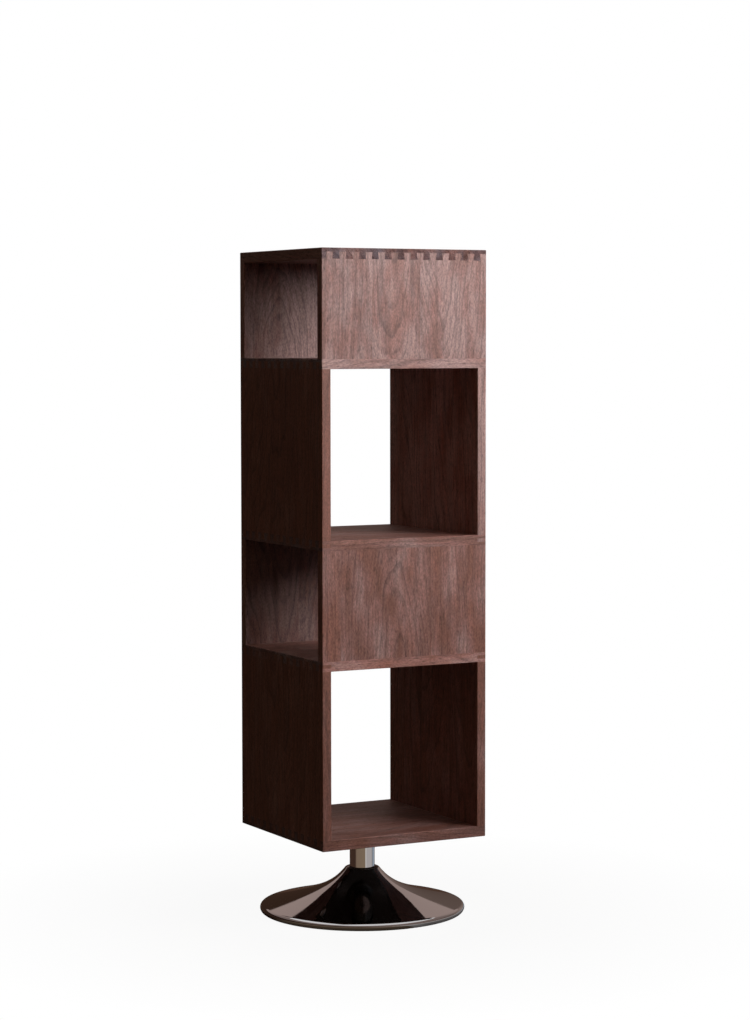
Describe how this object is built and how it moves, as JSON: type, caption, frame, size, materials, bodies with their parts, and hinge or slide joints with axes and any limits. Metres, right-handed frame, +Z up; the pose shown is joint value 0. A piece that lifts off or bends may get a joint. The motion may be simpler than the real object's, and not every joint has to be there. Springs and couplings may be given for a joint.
{
  "type": "revolving bookcase",
  "caption": "Square walnut tower bookcase of dovetailed tiers, open through on alternate sides, that revolves on a chromed column and trumpet base.",
  "frame": {"origin": "on the floor at the turning axis, the middle of the base", "axes": "+Z up along the turning axis, X along the front of the case, -Y out of the front face"},
  "size_m": [0.409, 0.4089, 1.3148],
  "materials": {
    "walnut": "oiled black walnut, satin",
    "beech": "raw beech",
    "chrome": "polished chrome plate",
    "cast_iron": "black painted casting",
    "black_steel": "black powder coat",
    "turned_steel": "turned and oiled",
    "zinc_steel": "zinc plated",
    "bronze": "machined bronze",
    "rubber": "moulded black rubber",
    "black_plastic": "moulded black plastic"
  },
  "bodies": {
    "base": {"base_cover": "chrome", "base_plate": "cast_iron", "floor_ring": "rubber", "access_plug": "black_plastic", "hub": "turned_steel", "hub_screws": "zinc_steel", "column_tube": "chrome", "neck_collar": "black_plastic", "bearing_housing": "chrome", "housing_washer": "turned_steel", "upper_bush": "bronze", "lower_bush": "bronze"},
    "bookcase": {"top_board": "walnut", "upper_front_panel": "walnut", "upper_back_panel": "walnut", "upper_case_top": "walnut", "upper_case_bottom": "walnut", "upper_case_left_side": "walnut", "upper_case_right_side": "walnut", "middle_front_panel": "walnut", "middle_back_panel": "walnut", "lower_case_top": "walnut", "lower_case_bottom": "walnut", "lower_case_left_side": "walnut", "lower_case_right_side": "walnut", "upper_panel_tenons": "beech", "middle_panel_tenons": "beech", "mounting_plate": "black_steel", "mounting_screws": "zinc_steel", "spindle": "turned_steel", "shaft_washer": "turned_steel", "keeper_washer": "turned_steel", "retaining_ring": "turned_steel"},
    "bearing_cage": {"roller_cage": "bronze", "bearing_rollers": "turned_steel"}
  },
  "joints": [
    {"name": "revolve", "type": "hinge", "parent": "base", "child": "bookcase", "pos_m": [0, 0, 0.1504], "axis": [0, 0, 1], "continuous": true},
    {"name": "bearing_roll", "type": "hinge", "parent": "base", "child": "bearing_cage", "pos_m": [0, 0, 0.1478], "axis": [0, 0, 1], "continuous": true}
  ],
  "couplings": [
    {"joint": "bearing_roll", "follows": "revolve", "ratio": 0.5}
  ]
}
